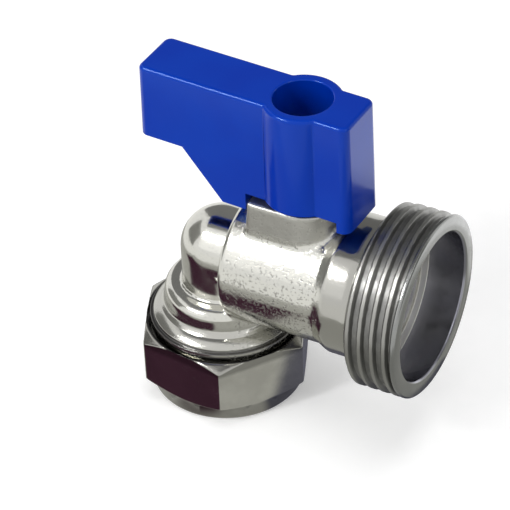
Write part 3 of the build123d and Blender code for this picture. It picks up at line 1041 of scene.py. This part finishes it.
# Name, place, width, depth, power and whether metal shows it
LAMPS = (
    ("top box", (0.05, 0.0, 0.62), 0.50, 0.40, 1.5, False),
    ("window", (-0.26, -0.50, 0.30), 0.34, 0.30, 1.5, False),
    ("key", (-0.205, -0.341, 0.402), 0.09, 0.07, 0.6, False),
    ("right box", (0.55, -0.10, 0.30), 0.26, 0.36, 0.6, True),
)

# Name, azimuth and elevation in degrees, distance, width, height and brightness
CARDS = (
    ("window card", 241, 26, 0.62, 0.36, 0.32, (1.25, 1.25, 1.25)),
    ("key card", 230, 44, 0.50, 0.17, 0.08, (30, 30, 30)),
    ("top card", 90, 78, 0.45, 0.70, 0.45, (0.26, 0.26, 0.26)),
    ("back card", 100, 32, 0.40, 0.70, 0.42, (0.22, 0.22, 0.22)),
    ("right card", 10, 14, 0.40, 0.40, 0.24, (0.30, 0.30, 0.29)),
    ("left card", 190, 18, 0.40, 0.30, 0.26, (0.26, 0.26, 0.25)),
)

# Left, right, front, back and soft edge in millimetres, and what metal sees there
FLOOR_PATCHES = (
    (-60, 75, -60, 32, 8, (0.46, 0.46, 0.43)),
    (25, 140, 50, 200, 3, (1.5, 1.5, 1.5)),
    (-48, 3, -34, -13, 3, (0.055, 0.022, 0.038)),
    # The dark patch under the valve is a painted shadow, as metal sees the floor there.
    (2, 36, -5, 14, 2, (0.12, 0.12, 0.15)),
)


def add_lamp(name, place, width, depth, power, seen_in_metal):
    """A rectangular soft box that looks at the valve."""
    lamp = bpy.data.lights.new(name, "AREA")
    lamp.shape = "RECTANGLE"
    lamp.size, lamp.size_y = width, depth
    lamp.energy = power
    item = bpy.data.objects.new(name, lamp)
    item.location = place
    aim = Vector((0.008, 0, 0.027))
    item.rotation_euler = (aim - Vector(place)).to_track_quat("-Z", "Y").to_euler()
    item.visible_glossy = seen_in_metal
    bpy.context.scene.collection.objects.link(item)


def add_sheet(name, middle, side, up, material):
    """A flat four-cornered sheet of the studio, from its middle to two of its edges."""
    corners = [middle - side - up, middle + side - up, middle + side + up, middle - side + up]
    mesh = bpy.data.meshes.new(name)
    mesh.from_pydata(corners, [], [(0, 1, 2, 3)])
    mesh.materials.append(material)
    sheet = link_mesh(name, mesh)
    return sheet


def add_card(name, azimuth, elevation, distance, width, height, brightness):
    """A plain upright card that only shows in the metal, as a photographer's flag does."""
    material = bpy.data.materials.new(name)
    material.use_nodes = True
    tree = material.node_tree
    tree.nodes.clear()
    glow = put(tree, "ShaderNodeEmission", {"Color": (*brightness, 1)}).outputs[0]
    put(tree, "ShaderNodeOutputMaterial", {"Surface": glow})
    turn, rise = math.radians(azimuth), math.radians(elevation)
    level = math.cos(rise)
    out = Vector((math.cos(turn) * level, math.sin(turn) * level, math.sin(rise)))
    side = Vector((-math.sin(turn), math.cos(turn), 0)) * width / 2
    up = out.cross(side).normalized() * height / 2
    middle = Vector((HUB_X, 0, AXIS_HEIGHT)) + out * distance
    card = add_sheet(name, middle, side, up, material)
    for ray in ("camera", "diffuse", "transmission", "volume_scatter", "shadow"):
        setattr(card, "visible_" + ray, False)


def floor_patch(across, deep, left, right, front, back, soft):
    """Mask of a soft-edged rectangle on the floor, in millimetres."""
    wide = across.rise(left - soft, left) * across.fall(right, right + soft)
    return wide * (deep.rise(front - soft, front) * deep.fall(back, back + soft))


def white_for_camera(tree, dim, bright):
    """Value that is bright for camera, glossy and transmission rays and dim for the rest."""
    path = fields(put(tree, "ShaderNodeLightPath"))
    seen = path["Is Camera Ray"].at_least(path["Is Glossy Ray"])
    return seen.at_least(path["Is Transmission Ray"]) * (bright - dim) + dim


def floor_material(colours):
    """Pale paper that keeps the shadow; metal sees it grey close by and dark under the valve,
    where the dark is a painted shadow.
    """
    material, place = start_material(
        "floor paper", Roughness=0.9, Specular_IOR_Level=0.1, Emission_Color=(1, 1, 1, 1)
    )
    tree = material.node_tree
    shader = tree.nodes["Principled BSDF"]
    fibres = noise(place, 2.0 * MM).between(0.3, 0.7)
    feed(shader.inputs["Base Color"], painted(colours.floor, (fibres, colours.floor_light)))
    feed(shader.inputs["Emission Strength"], white_for_camera(tree, 0.0, 0.30))
    across, deep, _ = place.split()
    patches = ((floor_patch(across, deep, *edges), seen) for *edges, seen in FLOOR_PATCHES)
    glow = put(tree, "ShaderNodeEmission", {"Color": painted((1.0, 1.0, 0.98), *patches)})
    metal_looks = put(tree, "ShaderNodeLightPath").outputs["Is Glossy Ray"]
    inputs = {0: metal_looks, 1: shader.outputs[0], 2: glow.outputs[0]}
    blend = put(tree, "ShaderNodeMixShader", inputs)
    feed(tree.nodes["Material Output"].inputs["Surface"], blend.outputs[0])
    return material


def add_camera(scene):
    """The camera at the photograph's place."""
    camera = bpy.data.cameras.new("photo view")
    camera.sensor_width = 36
    camera.lens = 206.14
    camera.clip_start = 0.01
    item = bpy.data.objects.new("photo view", camera)
    item.location = (0.161095, -0.279983, 0.279418)
    item.rotation_euler = [math.radians(angle) for angle in (51.325, 2.002, 27.516)]
    scene.collection.objects.link(item)
    scene.camera = item


class VALVE_OT_stage(Operator):
    """Build the floor, the lights, the world and the camera"""
    bl_idname = "valve.stage"
    bl_label = "Studio"

    def execute(self, context):
        scene = context.scene
        scene.view_settings.view_transform = "Standard"
        world = bpy.data.worlds.new("studio")
        world.use_nodes = True
        scene.world = world
        sky = world.node_tree.nodes["Background"]
        feed(sky.inputs["Color"], (1, 1, 1, 1))
        feed(sky.inputs["Strength"], white_for_camera(world.node_tree, 0.35, 1.0))
        paper = floor_material(scene.valve_colours)
        add_sheet("floor", Vector(), Vector((3, 0, 0)), Vector((0, 3, 0)), paper)
        for lamp in LAMPS:
            add_lamp(*lamp)
        for card in CARDS:
            add_card(*card)
        add_camera(scene)
        return {"FINISHED"}


class VALVE_PT_panel(Panel):
    bl_label = "Valve"
    bl_idname = "VALVE_PT_panel"
    bl_space_type = "VIEW_3D"
    bl_region_type = "UI"
    bl_category = "Valve"

    def draw(self, context):
        for name in STEPS:
            self.layout.operator("valve." + name)


STEPS = ("finishes", "cast_body", "inlet", "outlet", "nut", "lever", "inner_pieces", "stage")
GROUPS = {
    "valve_cast": CastBodySizes,
    "valve_inlet": InletSizes,
    "valve_outlet": OutletSizes,
    "valve_nut": NutSizes,
    "valve_lever": LeverSizes,
    "valve_colours": ValveColours,
}
CLASSES = (
    VALVE_OT_finishes, VALVE_OT_cast_body, VALVE_OT_inlet, VALVE_OT_outlet, VALVE_OT_nut,
    VALVE_OT_lever, VALVE_OT_inner_pieces, VALVE_OT_stage, VALVE_PT_panel,
)


def register():
    for name, group in GROUPS.items():
        bpy.utils.register_class(group)
        setattr(bpy.types.Scene, name, PointerProperty(type=group))
    for item in CLASSES:
        bpy.utils.register_class(item)


def unregister():
    for item in reversed(CLASSES):
        bpy.utils.unregister_class(item)
    for name, group in GROUPS.items():
        delattr(bpy.types.Scene, name)
        bpy.utils.unregister_class(group)


def main():
    register()
    for name in STEPS:
        getattr(bpy.ops.valve, name)()


if __name__ == "__main__":
    main()
